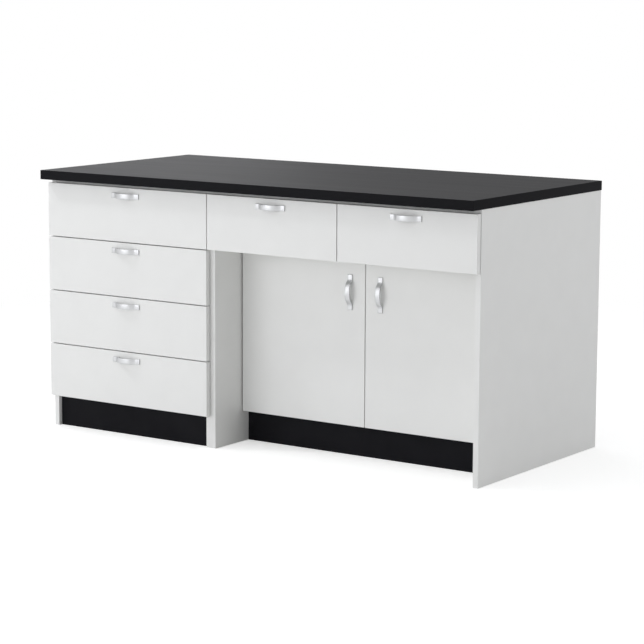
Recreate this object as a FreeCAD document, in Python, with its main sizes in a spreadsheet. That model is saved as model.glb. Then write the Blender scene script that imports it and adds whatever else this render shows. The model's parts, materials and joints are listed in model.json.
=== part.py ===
import FreeCAD, Part
import math
import os
import re
import Sketcher

# Laboratory base bench: two board units side by side under one worktop.
# The left unit holds a column of drawers. The right unit holds two drawers above a cupboard
# whose pair of doors stands back between the side panels.
# Millimetres, +Z up, +X along the bench, +Y to its back. The origin is on the floor,
# under the middle of the worktop.

SIZES = {
    # whole bench
    "bench_height": 850,            # floor to the worktop's surface
    "left_unit_width": 650,
    "right_unit_width": 980,
    "carcass_depth": 730,
    # worktop
    "worktop_thickness": 30,
    "worktop_front_overhang": 54,   # past the front edges of the side panels
    "worktop_side_overhang": 3,
    "worktop_edge_radius": 2,
    # boards of the two units
    "board": 18,
    "board_edge_radius": 0.8,       # edge banding on the side panels' front edges
    "back_panel": 8,
    "rail_depth": 100,              # flat rails under the worktop
    "plinth_height": 100,
    "plinth_board": 16,
    "left_plinth_setback": 14,      # behind the side panels' front edges
    "right_plinth_setback": 38,     # behind the doors' faces
    # drawer fronts
    "front_board": 18,
    "front_edge_radius": 1,
    "front_clearance": 2,           # between a front and the carcass behind it
    "front_gap": 3,                 # between neighbouring fronts
    "top_reveal": 12,               # worktop's underside to the top fronts
    "bottom_reveal": 3,             # plinth to the lowest front
    # drawer boxes
    "runner_space": 13,             # side panel to the drawer's steel wall
    "drawer_lift": 28,              # bottom of a front to the bottom of its box
    "drawer_length": 550,
    "wall_height": 118,
    "steel": 1.5,
    "wall_top_flange": 10,
    "wall_bottom_flange": 14,
    "drawer_bottom_board": 12,
    "drawer_back_board": 12,
    "drawer_back_height": 84,
    # roller runners
    "roller_radius": 11,
    "roller_width": 8,
    "roller_axle_radius": 3.5,
    "roller_side_gap": 3.5,         # side panel to the face of a roller
    "roller_end_distance": 16,      # end of a runner to the axle
    "runner_flange": 11,
    "drawer_rail_flange": 9,
    "running_clearance": 0.3,
    # cupboard
    "door_recess": 138,             # side panels' front edges to the doors' faces
    "door_board": 18,
    "door_edge_radius": 1,
    "door_hinge_gap": 5,
    "door_meeting_gap": 3,
    "door_top_gap": 3,
    "door_bottom_lift": 1,          # above the plinth
    "door_back_clearance": 5,       # the hinge side swings back this far, less a little
    "divider_cover": 2,             # how far the drawer fronts hang below the divider
    "shelf_setback": 40,            # behind the doors
    "shelf_side_gap": 1,
    # shelf holes and pins
    "pin_radius": 2.5,
    "pin_bore_clearance": 0.05,
    "pin_bore_depth": 11,
    "pin_end_clearance": 1,         # pin's end to the bottom of its hole
    "pin_length": 18,
    "pin_bore_count": 7,
    "pin_bore_pitch": 32,
    "first_pin_height": 265,
    "pin_front_distance": 45,       # shelf's front edge to the front pins
    "pin_rear_distance": 60,        # back panel to the rear pins
    "shelf_pin_step": 3,            # the shelf's place, in pitches above the lowest hole
    # concealed hinges
    "hinge_end_distance": 90,       # door's end to the hinge
    "hinge_pin_inset": 10,          # door's edge to the pin
    "hinge_pin_depth": 9,           # door's face to the pin
    "hinge_pin_radius": 1.5,
    "hinge_running_clearance": 0.05,
    "hinge_knuckle_radius": 2.6,
    "cup_bore_radius": 17.5,
    "cup_edge_distance": 5,         # door's edge to the cup's bore
    "cup_bore_depth": 13,
    "cup_clearance": 0.1,
    "cup_wall": 0.8,
    "cup_ear_reach": 9,
    "cup_ear_width": 16,
    "cup_ear_thickness": 1.2,
    "neck_radius": 14,              # inside of the gooseneck
    "neck_strap": 2.5,
    "arm_width": 12,
    "arm_length": 45,
    "mounting_plate": 2,
    "mounting_plate_height": 44,
    # bow handles
    "handle_length": 110,
    "handle_width": 17,
    "handle_foot": 14,
    "handle_strap": 4,
    "handle_projection": 20,
    "handle_bend_radius": 9,
    "handle_edge_radius": 0.8,
    "handle_drop": 26,              # top of a drawer front to its handle's middle
    "door_handle_edge": 54,         # doors' meeting edges to their handles' middles
    "door_handle_drop": 59,         # top of a door to its handle's upper end
    # screws and connectors
    "screw_radius": 2.5,
    "screw_head_radius": 5,
    "screw_head_height": 3,
    "screw_bite": 20,               # into the worktop
    "screw_end_distance": 90,
    "connector_radius": 4,
    "connector_head_radius": 7,
    "connector_head_thickness": 1.5,
    "connector_height_in_row": 100,  # bottom of a drawer front to the connectors level with it
    "connector_front_distance": 110,  # behind the doors
    "connector_rear_distance": 120,
}

doc = FreeCAD.newDocument("laboratory_bench")
sheet = doc.addObject("Spreadsheet::Sheet", "Sizes")
for row, (alias, value) in enumerate(SIZES.items(), start=1):
    sheet.set(f"A{row}", alias)
    sheet.set(f"B{row}", str(value))
    sheet.setAlias(f"B{row}", alias)
doc.recompute()

LEFT_DRAWER_COUNT = 4

# ---- planes and sizes that follow from the driving ones, as formulas ----

WORKTOP_WIDTH = "(left_unit_width + right_unit_width + 2 * worktop_side_overhang)"
WORKTOP_DEPTH = "(carcass_depth + worktop_front_overhang)"
CARCASS_TOP = "(bench_height - worktop_thickness)"

BACK = f"({WORKTOP_DEPTH} / 2)"
FRONT = f"({BACK} - carcass_depth)"                       # side panels' front edges
LEFT_END = "(0 - (left_unit_width + right_unit_width) / 2)"
SEAM = f"({LEFT_END} + left_unit_width)"                  # where the two units meet
RIGHT_END = f"({SEAM} + right_unit_width)"
INNER_BACK = f"({BACK} - back_panel)"
RAIL_UNDERSIDE = f"({CARCASS_TOP} - board)"
BOTTOM_TOP = "(plinth_height + board)"

FRONT_BACK = f"({FRONT} - front_clearance)"               # back faces of the drawer fronts
FRONT_FACE = f"({FRONT_BACK} - front_board)"
FRONTS_BOTTOM = "(plinth_height + bottom_reveal)"
FRONTS_TOP = f"({CARCASS_TOP} - top_reveal)"
ROW_PITCH = f"(({FRONTS_TOP} - {FRONTS_BOTTOM} + front_gap) / {LEFT_DRAWER_COUNT})"
FRONT_HEIGHT = f"({ROW_PITCH} - front_gap)"               # the fronts fill the left unit evenly
TOP_FRONT_BOTTOM = f"({FRONTS_TOP} - {FRONT_HEIGHT})"

DOOR_FACE = f"({FRONT} + door_recess)"
DOOR_BACK = f"({DOOR_FACE} + door_board)"
DOOR_BOTTOM = "(plinth_height + door_bottom_lift)"
DIVIDER_BOTTOM = f"({TOP_FRONT_BOTTOM} + divider_cover)"
DOOR_TOP = f"({DIVIDER_BOTTOM} - door_top_gap)"
CUPBOARD_LEFT = f"({SEAM} + board)"
CUPBOARD_RIGHT = f"({RIGHT_END} - board)"
CUPBOARD_MIDDLE = f"(({CUPBOARD_LEFT} + {CUPBOARD_RIGHT}) / 2)"
INNER_FRONT = f"({DOOR_BACK} + door_back_clearance)"      # front edge of the cupboard's bottom

RUNNER_HEIGHT = "(3 * steel + 2 * roller_radius + 3 * running_clearance)"
ROLLER_HEIGHT = "(steel + running_clearance + roller_radius)"
DRAWER_RAIL_HEIGHT = "(steel + 2 * roller_radius + 2 * running_clearance)"


def formula(text):
    """The text with each size's name pointed at its cell."""
    names = r"\b[a-z][a-z_]*\b"
    return re.sub(names, lambda name: f"Sizes.{name[0]}" if name[0] in SIZES else name[0], text)


def bind(item, **formulas):
    """Binds properties to formulas. A double underscore stands for the dot in a property's path."""
    for path, text in formulas.items():
        item.setExpression(path.replace("__", "."), formula(text))


def place(item, x, y, z):
    bind(item, Placement__Base__x=x, Placement__Base__y=y, Placement__Base__z=z)


def inward(face, sign, near, far):
    """From near to far, measured from a face along +X or, with sign -1, along -X."""
    if sign > 0:
        return f"({face} + {near})", f"({face} + {far})"
    return f"({face} - {far})", f"({face} - {near})"


# ---- boards, as bodies ----

def board(label, x, y, z, radius=None, front_edges_only=False):
    """A board from low to high along each axis. Its edges are rounded if a radius is named."""
    body = doc.addObject("PartDesign::Body", label)
    blank = body.newObject("PartDesign::AdditiveBox", f"{label}_blank")
    for side, (low, high) in zip(("Length", "Width", "Height"), (x, y, z)):
        bind(blank, **{side: f"{high} - {low}"})
    place(body, x[0], y[0], z[0])
    if radius:
        doc.recompute()
        edges = [f"Edge{number}" for number, edge in enumerate(blank.Shape.Edges, start=1)
                 if not front_edges_only or is_upright_in_front(edge)]
        rounding = body.newObject("PartDesign::Fillet", f"{label}_edges")
        rounding.Base = (blank, edges)
        bind(rounding, Radius=radius)
        blank.Visibility = False
    return body


def is_upright_in_front(edge):
    box = edge.BoundBox
    return box.ZLength > box.YLength and abs(box.YMax) < 0.001


def bore(body, name, radius, length, x, y, z, axis, degrees):
    """A round blind hole in a body, turned from the +Z direction about an axis."""
    hole = body.newObject("PartDesign::SubtractiveCylinder", name)
    hole.Placement.Rotation = FreeCAD.Rotation(FreeCAD.Vector(*axis), degrees)
    bind(hole, Radius=radius, Height=length)
    place(hole, x, y, z)
    return hole


def unit(name, x):
    """The boards that both units have: sides, rails under the worktop and back."""
    low, high = x
    inner = (f"({low} + board)", f"({high} - board)")
    floor_to_top = ("0", CARCASS_TOP)
    board(f"{name}_left_side", (low, inner[0]), (FRONT, BACK), floor_to_top,
          "board_edge_radius", front_edges_only=True)
    board(f"{name}_right_side", (inner[1], high), (FRONT, BACK), floor_to_top,
          "board_edge_radius", front_edges_only=True)
    rail_z = (RAIL_UNDERSIDE, CARCASS_TOP)
    board(f"{name}_front_rail", inner, (FRONT, f"({FRONT} + rail_depth)"), rail_z)
    board(f"{name}_rear_rail", inner, (f"({INNER_BACK} - rail_depth)", INNER_BACK), rail_z)
    board(f"{name}_back", inner, (INNER_BACK, BACK), ("plinth_height", CARCASS_TOP))
    return inner


def worktop():
    half_width = f"({WORKTOP_WIDTH} / 2)"
    board("worktop", (f"(0 - {half_width})", half_width), (f"(0 - {BACK})", BACK),
          (CARCASS_TOP, "bench_height"), "worktop_edge_radius")


def left_unit():
    inner = unit("left_unit", (LEFT_END, SEAM))
    board("left_unit_bottom", inner, (FRONT, INNER_BACK), ("plinth_height", BOTTOM_TOP))
    plinth_face = f"({FRONT} + left_plinth_setback)"
    board("left_unit_plinth", inner, (plinth_face, f"({plinth_face} + plinth_board)"),
          ("0", "plinth_height"))


def right_unit():
    inner = unit("right_unit", (SEAM, RIGHT_END))
    board("right_unit_bottom", inner, (INNER_FRONT, INNER_BACK), ("plinth_height", BOTTOM_TOP))
    divider_top = f"({DIVIDER_BOTTOM} + board)"
    board("right_unit_divider", inner, (FRONT, INNER_BACK), (DIVIDER_BOTTOM, divider_top))
    board("right_unit_partition",
          (f"({CUPBOARD_MIDDLE} - board / 2)", f"({CUPBOARD_MIDDLE} + board / 2)"),
          (FRONT, INNER_BACK), (divider_top, RAIL_UNDERSIDE))
    plinth_face = f"({DOOR_FACE} + right_plinth_setback)"
    board("right_unit_plinth", inner, (plinth_face, f"({plinth_face} + plinth_board)"),
          ("0", "plinth_height"))


# ---- the cupboard's shelf on its pins ----

SHELF_FRONT = f"({DOOR_BACK} + shelf_setback)"
PIN_LINES = (f"({SHELF_FRONT} + pin_front_distance)", f"({INNER_BACK} - pin_rear_distance)")
PIN_HEIGHT = "(first_pin_height + shelf_pin_step * pin_bore_pitch)"
PIN_TIP = "(pin_end_clearance - pin_bore_depth)"          # from the panel's inner face


def shelf_bores(panel, x, turn):
    """Two rows of holes up a side panel's inner face. The panel's own origin is its lower front corner."""
    holes = [bore(panel, f"{panel.Label}_bore_{end}", "pin_radius + pin_bore_clearance",
                  "pin_bore_depth", x, f"{line} - {FRONT}", "first_pin_height", (0, 1, 0), turn)
             for end, line in zip(("front", "rear"), PIN_LINES)]
    rows = panel.newObject("PartDesign::LinearPattern", f"{panel.Label}_bores")
    rows.Originals = holes
    upright = [axis for axis in panel.Origin.OriginFeatures if axis.Role == "Z_Axis"][0]
    rows.Direction = (upright, [""])
    bind(rows, Length="(pin_bore_count - 1) * pin_bore_pitch", Occurrences="pin_bore_count")
    panel.Tip = rows


def cupboard_shelf():
    left_panel = doc.getObject("right_unit_left_side")
    right_panel = doc.getObject("right_unit_right_side")
    shelf_bores(left_panel, "board", -90)
    shelf_bores(right_panel, "0", 90)
    underside = f"({PIN_HEIGHT} + pin_radius)"
    board("cupboard_shelf",
          (f"({CUPBOARD_LEFT} + shelf_side_gap)", f"({CUPBOARD_RIGHT} - shelf_side_gap)"),
          (SHELF_FRONT, INNER_BACK), (underside, f"({underside} + board)"), "board_edge_radius")
    pins = []
    for side, face, sign in (("left", CUPBOARD_LEFT, 1), ("right", CUPBOARD_RIGHT, -1)):
        for end, line in zip(("front", "rear"), PIN_LINES):
            x = inward(face, sign, PIN_TIP, f"({PIN_TIP} + pin_length)")
            pins.append(rod(f"pin_{side}_{end}", "pin_radius", "x", x, line, PIN_HEIGHT))
    group("shelf_pins", pins)


# ---- primitives and booleans ----

TURNS = {"x": ((0, 1, 0), 90), "y": ((1, 0, 0), -90), "z": ((0, 0, 1), 0)}


def block(name, x, y, z):
    box = doc.addObject("Part::Box", name)
    for side, (low, high) in zip(("Length", "Width", "Height"), (x, y, z)):
        bind(box, **{side: f"{high} - {low}"})
    place(box, x[0], y[0], z[0])
    return box


def rod(name, radius, along, x, y, z):
    """A cylinder along x, y or z. The place along its axis is a pair: low and high."""
    cylinder = doc.addObject("Part::Cylinder", name)
    axis, degrees = TURNS[along]
    cylinder.Placement.Rotation = FreeCAD.Rotation(FreeCAD.Vector(*axis), degrees)
    low, high = {"x": x, "y": y, "z": z}[along]
    bind(cylinder, Radius=radius, Height=f"{high} - {low}")
    place(cylinder, *[low if letter == along else value
                      for letter, value in (("x", x), ("y", y), ("z", z))])
    return cylinder


def union(name, pieces):
    joined = doc.addObject("Part::MultiFuse", name)
    joined.Shapes = pieces
    joined.Refine = True
    return joined


def difference(name, base, tool):
    rest = doc.addObject("Part::Cut", name)
    rest.Base, rest.Tool = base, tool
    return rest


def group(name, pieces):
    together = doc.addObject("Part::Compound", name)
    together.Links = pieces
    return together


# ---- drawers ----

def roller(name, face, sign, axle, y, z):
    """A wheel on an axle. The axle's near and far ends are distances inward from a side panel."""
    wheel = inward(face, sign, "roller_side_gap", "(roller_side_gap + roller_width)")
    return union(name, [
        rod(f"{name}_wheel", "roller_radius", "x", wheel, y, z),
        rod(f"{name}_axle", "roller_axle_radius", "x", inward(face, sign, *axle), y, z)])


def cabinet_runner(name, face, sign, base):
    """A C-shaped steel profile on a side panel, with a roller at its front end."""
    y = (FRONT, f"({FRONT_BACK} + drawer_length)")
    top = f"({base} + {RUNNER_HEIGHT})"
    flange = inward(face, sign, "0", "runner_flange")
    profile = union(f"{name}_profile", [
        block(f"{name}_web", inward(face, sign, "0", "steel"), y, (base, top)),
        block(f"{name}_lower_flange", flange, y, (base, f"({base} + steel)")),
        block(f"{name}_upper_flange", flange, y, (f"({top} - steel)", top))])
    wheel = roller(f"{name}_roller", face, sign, ("steel", "roller_side_gap"),
                   f"({FRONT} + roller_end_distance)", f"({base} + {ROLLER_HEIGHT})")
    return [profile, wheel]


def drawer_wall(name, face, sign, base):
    """A steel drawer wall with its rail, and the roller at its rear end."""
    y = (FRONT_BACK, f"({FRONT_BACK} + drawer_length)")
    top = f"({base} + wall_height)"
    outside, inside = "runner_space", "(runner_space + steel)"
    rail = f"({base} + {DRAWER_RAIL_HEIGHT})"
    wall = union(f"{name}_wall", [
        block(f"{name}_web", inward(face, sign, outside, inside), y, (base, top)),
        block(f"{name}_top", inward(face, sign, f"({outside} - wall_top_flange)", inside), y,
              (f"({top} - steel)", top)),
        block(f"{name}_rail", inward(face, sign, f"({outside} - drawer_rail_flange)", inside), y,
              (rail, f"({rail} + steel)")),
        block(f"{name}_ledge", inward(face, sign, outside, f"({inside} + wall_bottom_flange)"), y,
              (base, f"({base} + steel)"))])
    wheel = roller(f"{name}_roller", face, sign, ("roller_side_gap", outside),
                   f"({y[1]} - roller_end_distance)", f"({base} + {ROLLER_HEIGHT})")
    return [wall, wheel]


def drawer(name, bay, front_x, front_bottom):
    """One drawer between two inner faces. Returns the runners that stay in the carcass."""
    front_top = f"({front_bottom} + {FRONT_HEIGHT})"
    board(f"{name}_front", front_x, (FRONT_FACE, FRONT_BACK), (front_bottom, front_top),
          "front_edge_radius")
    base = f"({front_bottom} + drawer_lift)"
    sides = (("left", bay[0], 1), ("right", bay[1], -1))
    group(f"{name}_side_walls", [piece for side, face, sign in sides
                                 for piece in drawer_wall(f"{name}_{side}", face, sign, base)])
    floor_x = (f"({bay[0]} + runner_space + steel)", f"({bay[1]} - runner_space - steel)")
    rear = f"({FRONT_BACK} + drawer_length)"
    floor_top = f"({base} + steel + drawer_bottom_board)"
    board(f"{name}_bottom", floor_x, (FRONT_BACK, rear), (f"({base} + steel)", floor_top))
    board(f"{name}_back", floor_x, (f"({rear} - drawer_back_board)", rear),
          (floor_top, f"({floor_top} + drawer_back_height)"))
    bow_handle(f"{name}_handle", f"(({front_x[0]} + {front_x[1]}) / 2)", FRONT_FACE,
               f"({front_top} - handle_drop)", ALONG_X)
    return [piece for side, face, sign in sides
            for piece in cabinet_runner(f"{name}_{side}_runner", face, sign, base)]


def drawers():
    left_bay = (f"({LEFT_END} + board)", f"({SEAM} - board)")
    left_front = (f"({LEFT_END} + front_gap / 2)", f"({SEAM} - front_gap / 2)")
    middle_gap = (f"({CUPBOARD_MIDDLE} - front_gap / 2)", f"({CUPBOARD_MIDDLE} + front_gap / 2)")
    partition = (f"({CUPBOARD_MIDDLE} - board / 2)", f"({CUPBOARD_MIDDLE} + board / 2)")
    runners = []
    for number in range(LEFT_DRAWER_COUNT):
        bottom = f"({TOP_FRONT_BOTTOM} - {number} * {ROW_PITCH})"
        runners += drawer(f"left_drawer_{number + 1}", left_bay, left_front, bottom)
    runners += drawer("middle_drawer", (CUPBOARD_LEFT, partition[0]),
                      (f"({SEAM} + front_gap / 2)", middle_gap[0]), TOP_FRONT_BOTTOM)
    runners += drawer("right_drawer", (partition[1], CUPBOARD_RIGHT),
                      (middle_gap[1], f"({RIGHT_END} - front_gap / 2)"), TOP_FRONT_BOTTOM)
    group("cabinet_runners", runners)


# ---- bow handles ----

ALONG_X = FreeCAD.Rotation(FreeCAD.Vector(1, 0, 0), 90)
UPRIGHT = FreeCAD.Rotation(FreeCAD.Vector(0, 0, 1), FreeCAD.Vector(-1, 0, 0),
                           FreeCAD.Vector(0, -1, 0), "XYZ")


def origin_plane(body, role):
    return [plane for plane in body.Origin.OriginFeatures if plane.Role == role][0]


def add_sketch(body, name, role):
    sketch = body.newObject("Sketcher::SketchObject", name)
    sketch.AttachmentSupport = (origin_plane(body, role), [""])
    sketch.MapMode = "FlatFace"
    return sketch


def size_constraint(sketch, text, *terms):
    """Adds a dimension that follows a formula. The terms are a Sketcher constraint's own."""
    number = sketch.addConstraint(Sketcher.Constraint(*terms))
    sketch.setExpression(f"Constraints[{number}]", formula(text))


def bow_line(body):
    """The strap's middle line: a foot, a bend, the crown, a bend and a foot, all tangent."""
    half_length = SIZES["handle_length"] / 2
    foot_end = half_length - SIZES["handle_foot"]
    rise = SIZES["handle_projection"] - SIZES["handle_strap"]
    bend = SIZES["handle_bend_radius"]
    middle = SIZES["handle_strap"] / 2
    crown = (foot_end ** 2 + rise ** 2) / (2 * rise) - bend
    turn = math.asin(foot_end / (crown + bend))
    upright, down = math.pi / 2, 1.5 * math.pi
    normal = FreeCAD.Vector(0, 0, 1)

    def line(start, end):
        return Part.LineSegment(FreeCAD.Vector(start, middle, 0), FreeCAD.Vector(end, middle, 0))

    def arc(x, y, radius, start, end):
        return Part.ArcOfCircle(Part.Circle(FreeCAD.Vector(x, y, 0), normal, radius), start, end)

    sketch = add_sketch(body, f"{body.Label}_line", "XZ_Plane")
    left_foot, left_bend, top, right_bend, right_foot = sketch.addGeometry([
        line(-half_length, -foot_end),
        arc(-foot_end, middle + bend, bend, down, down + turn),
        arc(0, middle + rise - crown, crown, upright - turn, upright + turn),
        arc(foot_end, middle + bend, bend, down - turn, down),
        line(foot_end, half_length)], False)
    sketch.addConstraint([
        Sketcher.Constraint("Tangent", left_foot, 2, left_bend, 1),
        Sketcher.Constraint("Tangent", left_bend, 2, top, 2),
        Sketcher.Constraint("Tangent", top, 1, right_bend, 1),
        Sketcher.Constraint("Tangent", right_bend, 2, right_foot, 1),
        Sketcher.Constraint("Horizontal", left_foot),
        Sketcher.Constraint("Horizontal", right_foot),
        Sketcher.Constraint("Symmetric", left_foot, 1, right_foot, 2, -2),
        Sketcher.Constraint("Equal", left_bend, right_bend)])
    size_constraint(sketch, "handle_strap / 2", "DistanceY", -1, 1, left_foot, 1, middle)
    size_constraint(sketch, "handle_length", "DistanceX", left_foot, 1, right_foot, 2,
                    2 * half_length)
    for foot in (left_foot, right_foot):
        size_constraint(sketch, "handle_foot", "DistanceX", foot, 1, foot, 2,
                        half_length - foot_end)
    size_constraint(sketch, "handle_bend_radius", "Radius", left_bend, bend)
    rise_text = "(handle_projection - handle_strap)"
    reach_text = "(handle_length / 2 - handle_foot)"
    size_constraint(sketch, f"({reach_text} ^ 2 + {rise_text} ^ 2) / (2 * {rise_text})"
                            " - handle_bend_radius", "Radius", top, crown)
    return sketch


def strap_section(body):
    """The strap's rectangular section at the end of one foot."""
    half_width, strap = SIZES["handle_width"] / 2, SIZES["handle_strap"]
    corners = [FreeCAD.Vector(y, z, 0) for y, z in
               ((-half_width, 0), (half_width, 0), (half_width, strap), (-half_width, strap))]
    sketch = add_sketch(body, f"{body.Label}_section", "YZ_Plane")
    bind(sketch, AttachmentOffset__Base__z="0 - handle_length / 2")
    bottom, right, top, left = sketch.addGeometry(
        [Part.LineSegment(start, end) for start, end in zip(corners, corners[1:] + corners[:1])],
        False)
    ring = (bottom, right, top, left)
    for side, following in zip(ring, ring[1:] + ring[:1]):
        sketch.addConstraint(Sketcher.Constraint("Coincident", side, 2, following, 1))
    sketch.addConstraint([
        Sketcher.Constraint("Horizontal", top),
        Sketcher.Constraint("Vertical", left),
        Sketcher.Constraint("Vertical", right),
        Sketcher.Constraint("Symmetric", bottom, 1, bottom, 2, -1, 1)])
    size_constraint(sketch, "handle_width", "DistanceX", bottom, 1, bottom, 2, 2 * half_width)
    size_constraint(sketch, "handle_strap", "DistanceY", right, 1, right, 2, strap)
    return sketch


def bow_handle(label, x, y, z, rotation):
    body = doc.addObject("PartDesign::Body", label)
    line, section = bow_line(body), strap_section(body)
    strap = body.newObject("PartDesign::AdditivePipe", f"{label}_strap")
    strap.Profile = (section, [""])
    strap.Spine = (line, [""])
    doc.recompute()
    rounding = body.newObject("PartDesign::Fillet", f"{label}_edges")
    rounding.Base = (strap, ["Edge1"])
    rounding.UseAllEdges = True
    bind(rounding, Radius="handle_edge_radius")
    body.Placement.Rotation = rotation
    place(body, x, y, z)


# ---- doors and their concealed hinges ----

HINGE_HEIGHTS = {"upper": f"({DOOR_TOP} - hinge_end_distance)",
                 "lower": f"({DOOR_BOTTOM} + hinge_end_distance)"}
PIN_LINE = f"({DOOR_FACE} + hinge_pin_depth)"
CUP_OFFSET = "(cup_edge_distance + cup_bore_radius - hinge_pin_inset)"   # pin to the cup's axis
CUP_RADIUS = "(cup_bore_radius - cup_clearance)"


def hinge_cup(name, pin_x, sign, height):
    """A cup let into the door's back, with the pin across it and an ear above and below."""
    axis_x = f"({pin_x} + {sign} * {CUP_OFFSET})"
    cup_front = f"({DOOR_BACK} - cup_bore_depth + cup_clearance)"
    shell = difference(
        f"{name}_shell",
        rod(f"{name}_outside", CUP_RADIUS, "y", axis_x, (cup_front, DOOR_BACK), height),
        rod(f"{name}_inside", f"{CUP_RADIUS} - cup_wall", "y", axis_x,
            (f"({cup_front} + cup_wall)", f"({DOOR_BACK} + cup_ear_thickness)"), height))
    half_chord = f"sqrt(({CUP_RADIUS} - cup_wall / 2) ^ 2 - {CUP_OFFSET} ^ 2)"
    pin = rod(f"{name}_pin", "hinge_pin_radius", "z", pin_x, PIN_LINE,
              (f"({height} - {half_chord})", f"({height} + {half_chord})"))
    ear_x = (f"({axis_x} - cup_ear_width / 2)", f"({axis_x} + cup_ear_width / 2)")
    ear_y = (DOOR_BACK, f"({DOOR_BACK} + cup_ear_thickness)")
    rim_near = f"({CUP_RADIUS} - cup_wall)"
    rim_far = f"({CUP_RADIUS} + cup_ear_reach)"
    ears = [block(f"{name}_{end}_ear", ear_x, ear_y, z) for end, z in (
        ("upper", (f"({height} + {rim_near})", f"({height} + {rim_far})")),
        ("lower", (f"({height} - {rim_far})", f"({height} - {rim_near})")))]
    return union(name, [shell, pin] + ears)


def hinge_arm(name, face, pin_x, sign, height):
    """A gooseneck from a plate on the side panel, round the door's corner, to the pin."""
    z = (f"({height} - arm_width / 2)", f"({height} + arm_width / 2)")
    outer_radius = "(neck_radius + neck_strap)"
    quarter = {}
    for part, radius in (("outer", outer_radius), ("inner", "neck_radius")):
        quarter[part] = rod(f"{name}_{part}", radius, "z", pin_x, PIN_LINE, z)
        quarter[part].Angle = 90
        quarter[part].Placement.Rotation = FreeCAD.Rotation(
            FreeCAD.Vector(0, 0, 1), 0 if sign > 0 else 90)
    neck = difference(f"{name}_neck", quarter["outer"], quarter["inner"])
    pin_distance = "(door_hinge_gap + hinge_pin_inset)"
    root_y = (f"({PIN_LINE} + neck_radius)", f"({PIN_LINE} + {outer_radius})")
    strap_y = (f"({PIN_LINE} - neck_strap / 2)", f"({PIN_LINE} + neck_strap / 2)")
    arm_y = (root_y[0], f"({root_y[0]} + arm_length)")
    plate_z = (f"({height} - mounting_plate_height / 2)",
               f"({height} + mounting_plate_height / 2)")
    solid = union(f"{name}_solid", [
        neck,
        rod(f"{name}_knuckle", "hinge_knuckle_radius", "z", pin_x, PIN_LINE, z),
        block(f"{name}_tongue", inward(pin_x, sign, "0", outer_radius), strap_y, z),
        block(f"{name}_root",
              inward(face, sign, "mounting_plate", pin_distance), root_y, z),
        block(f"{name}_arm",
              inward(face, sign, "mounting_plate", "(mounting_plate + neck_strap)"), arm_y, z),
        block(f"{name}_plate", inward(face, sign, "0", "mounting_plate"), arm_y, plate_z)])
    return difference(name, solid, rod(f"{name}_bore",
                                       "hinge_pin_radius + hinge_running_clearance", "z",
                                       pin_x, PIN_LINE, z))


def door(name, face, sign):
    """A door hinged near one inner face. Returns the hinge arms that stay on the side panel."""
    hinge_edge = f"({face} + {sign} * door_hinge_gap)"
    meeting_edge = f"({CUPBOARD_MIDDLE} - {sign} * door_meeting_gap / 2)"
    x = (hinge_edge, meeting_edge) if sign > 0 else (meeting_edge, hinge_edge)
    panel = board(f"{name}_panel", x, (DOOR_FACE, DOOR_BACK), (DOOR_BOTTOM, DOOR_TOP),
                  "door_edge_radius")
    pin_x = f"({hinge_edge} + {sign} * hinge_pin_inset)"
    cups, arms = [], []
    for end, height in HINGE_HEIGHTS.items():
        bore(panel, f"{name}_{end}_cup_bore", "cup_bore_radius", "cup_bore_depth",
             f"{pin_x} + {sign} * {CUP_OFFSET} - {x[0]}", "door_board",
             f"{height} - {DOOR_BOTTOM}", (1, 0, 0), 90)
        cups.append(hinge_cup(f"{name}_{end}_cup", pin_x, sign, height))
        arms.append(hinge_arm(f"{name}_{end}_arm", face, pin_x, sign, height))
    group(f"{name}_hinge_cups", cups)
    bow_handle(f"{name}_handle", f"({meeting_edge} - {sign} * door_handle_edge)", DOOR_FACE,
               f"({DOOR_TOP} - door_handle_drop - handle_length / 2)", UPRIGHT)
    return arms


def doors():
    arms = door("left_door", CUPBOARD_LEFT, 1) + door("right_door", CUPBOARD_RIGHT, -1)
    group("hinge_arms", arms)


# ---- fastenings ----

def worktop_screws():
    """Countersunk screws up through the rails into the worktop."""
    screws = []
    top = f"({CARCASS_TOP} + screw_bite)"
    for name, low, high in (("left", LEFT_END, SEAM), ("right", SEAM, RIGHT_END)):
        for end, x in (("low", f"({low} + board + screw_end_distance)"),
                       ("high", f"({high} - board - screw_end_distance)")):
            for rail, y in (("front", f"({FRONT} + rail_depth / 2)"),
                            ("rear", f"({INNER_BACK} - rail_depth / 2)")):
                part = f"screw_{name}_{end}_{rail}"
                head = doc.addObject("Part::Cone", f"{part}_head")
                bind(head, Radius1="screw_head_radius", Radius2="screw_radius",
                     Height="screw_head_height")
                place(head, x, y, RAIL_UNDERSIDE)
                shank = rod(f"{part}_shank", "screw_radius", "z", x, y, (RAIL_UNDERSIDE, top))
                screws.append(union(part, [head, shank]))
    group("worktop_screws", screws)


def unit_connectors():
    """Sleeve bolts that hold the two middle side panels together."""
    bolts = []
    shank_x = (f"({SEAM} - board)", f"({SEAM} + board)")
    heads = {"left": (f"({shank_x[0]} - connector_head_thickness)", shank_x[0]),
             "right": (shank_x[1], f"({shank_x[1]} + connector_head_thickness)")}
    lines = {"front": f"({DOOR_BACK} + connector_front_distance)",
             "rear": f"({INNER_BACK} - connector_rear_distance)"}
    for row in (1, LEFT_DRAWER_COUNT - 1):
        z = f"({TOP_FRONT_BOTTOM} - {row} * {ROW_PITCH} + connector_height_in_row)"
        for end, y in lines.items():
            name = f"connector_{row}_{end}"
            pieces = [rod(f"{name}_shank", "connector_radius", "x", shank_x, y, z)]
            pieces += [rod(f"{name}_{side}_head", "connector_head_radius", "x", x, y, z)
                       for side, x in heads.items()]
            bolts.append(union(name, pieces))
    group("unit_connectors", bolts)


worktop()
left_unit()
right_unit()
cupboard_shelf()
drawers()
doors()
worktop_screws()
unit_connectors()
doc.recompute()


for item in doc.Objects:
    if {"Invalid", "Error"} & set(item.State):
        raise RuntimeError(f"{item.Label} did not recompute: {item.State}")

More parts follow.
